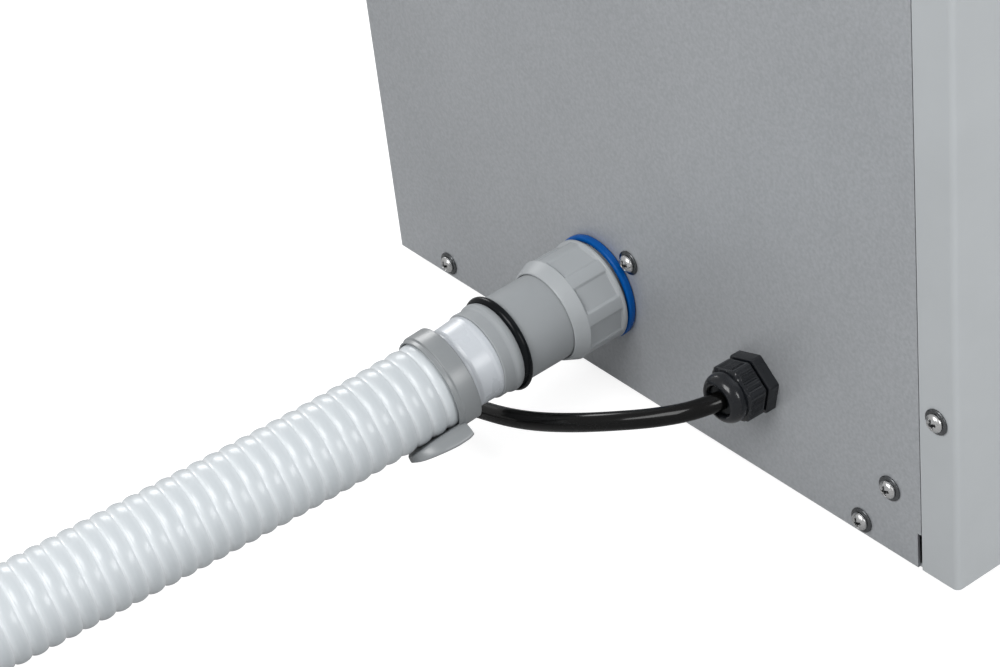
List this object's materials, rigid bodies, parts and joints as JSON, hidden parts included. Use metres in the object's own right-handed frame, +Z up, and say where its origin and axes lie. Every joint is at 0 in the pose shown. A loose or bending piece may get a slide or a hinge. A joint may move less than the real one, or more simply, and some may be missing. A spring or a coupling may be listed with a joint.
{
  "type": "dehumidifier",
  "caption": "Sheet-metal cabinet dehumidifier with a low side condensate outlet, corrugated drain hose, cable gland and power cable, pull-out filter and fan.",
  "frame": {"origin": "on the floor, under the middle of the box of the cabinet with its condensate fitting, measured without the hose and cable", "axes": "+Z up, front of the cabinet towards -Y, condensate outlet and cable gland on the -X side"},
  "size_m": [1.2407, 0.64, 0.705],
  "materials": {
    "galvanised_steel": "fine-grained galvanised sheet, satin",
    "grey_paint": "light grey powder coat, satin",
    "bright_steel": "zinc-plated, bright",
    "black_rubber": "moulded rubber",
    "black_plastic": "moulded nylon, satin",
    "dark_grey_plastic": "moulded, fine texture",
    "grey_plastic": "moulded, satin",
    "white_plastic": "moulded, semi-gloss",
    "blue_seal": "soft seal, satin",
    "hose_plastic": "translucent corrugated hose, glossy",
    "filter_fibre": "pleated fibre",
    "aluminium_fins": "thin fins",
    "copper": "copper tube",
    "black_enamel": "stoved enamel",
    "cable_jacket": "smooth glossy jacket",
    "lamp_lens": "clear coloured lens"
  },
  "bodies": {
    "cabinet": {"left_panel_screws": "bright_steel", "right_panel_screws": "bright_steel", "cover_screws": "bright_steel", "rear_panel_screws": "bright_steel", "base_pan": "galvanised_steel", "rubber_feet": "black_rubber", "left_side_panel": "galvanised_steel", "right_side_panel": "galvanised_steel", "front_cover": "grey_paint", "rear_panel": "galvanised_steel", "top_cover": "grey_paint", "intake_grille": "dark_grey_plastic", "outlet_guard": "bright_steel", "filter_rails": "galvanised_steel", "evaporator_coil": "aluminium_fins", "condenser_coil": "aluminium_fins", "drip_tray": "white_plastic", "tray_brackets": "galvanised_steel", "drain_spigot": "grey_plastic", "drain_gasket": "blue_seal", "drain_tailpiece": "grey_plastic", "drain_o_ring": "black_rubber", "hose_cuff": "white_plastic", "hose_clamp": "grey_plastic", "drain_hose": "hose_plastic", "hose_end_cuff": "white_plastic", "gland_body": "black_plastic", "gland_nut": "black_plastic", "gland_seal": "black_rubber", "gland_locknut": "black_plastic", "inner_cable": "cable_jacket", "power_cable": "cable_jacket", "power_cable_coil": "cable_jacket", "cable_tie": "black_plastic", "power_plug": "black_plastic", "fan_motor": "black_enamel", "fan_shroud": "galvanised_steel", "motor_bracket": "galvanised_steel", "compressor": "black_enamel", "compressor_mounts": "black_rubber", "suction_line": "copper", "discharge_line": "copper", "liquid_line": "copper", "capillary_tube": "copper", "filter_drier": "copper", "control_box": "galvanised_steel", "run_capacitor": "aluminium_fins", "contactor": "black_plastic", "control_panel": "dark_grey_plastic", "humidistat": "black_plastic", "power_switch_body": "black_plastic", "indicator_lamps": "lamp_lens"},
    "fan": {"fan_impeller": "black_plastic", "fan_shaft": "bright_steel"},
    "filter": {"filter_frame": "grey_plastic", "filter_media": "filter_fibre"},
    "knob": {"humidistat_knob": "black_plastic"},
    "rocker": {"power_rocker": "black_plastic"},
    "union_nut": {"drain_nut": "grey_plastic"}
  },
  "joints": [
    {"name": "fan_spin", "type": "hinge", "parent": "cabinet", "child": "fan", "pos_m": [0.0324, 0.08716, 0.47], "axis": [0, 1, 0], "continuous": true},
    {"name": "filter_slide", "type": "slide", "parent": "cabinet", "child": "filter", "axis": [1, 0, 0], "range_m": [0, 0.48]},
    {"name": "humidistat_turn", "type": "hinge", "parent": "cabinet", "child": "knob", "pos_m": [0.1024, -0.17984, 0.648], "axis": [0, 1, 0], "range_deg": [0, 270]},
    {"name": "power_rock", "type": "hinge", "parent": "cabinet", "child": "rocker", "pos_m": [0.2244, -0.17384, 0.648], "axis": [1, 0, 0], "range_deg": [-14, 0]},
    {"name": "union_nut_turn", "type": "hinge", "parent": "cabinet", "child": "union_nut", "pos_m": [-0.2676, 0.03276, 0.0522], "axis": [-0.9993, 0, -0.0384], "continuous": true}
  ]
}
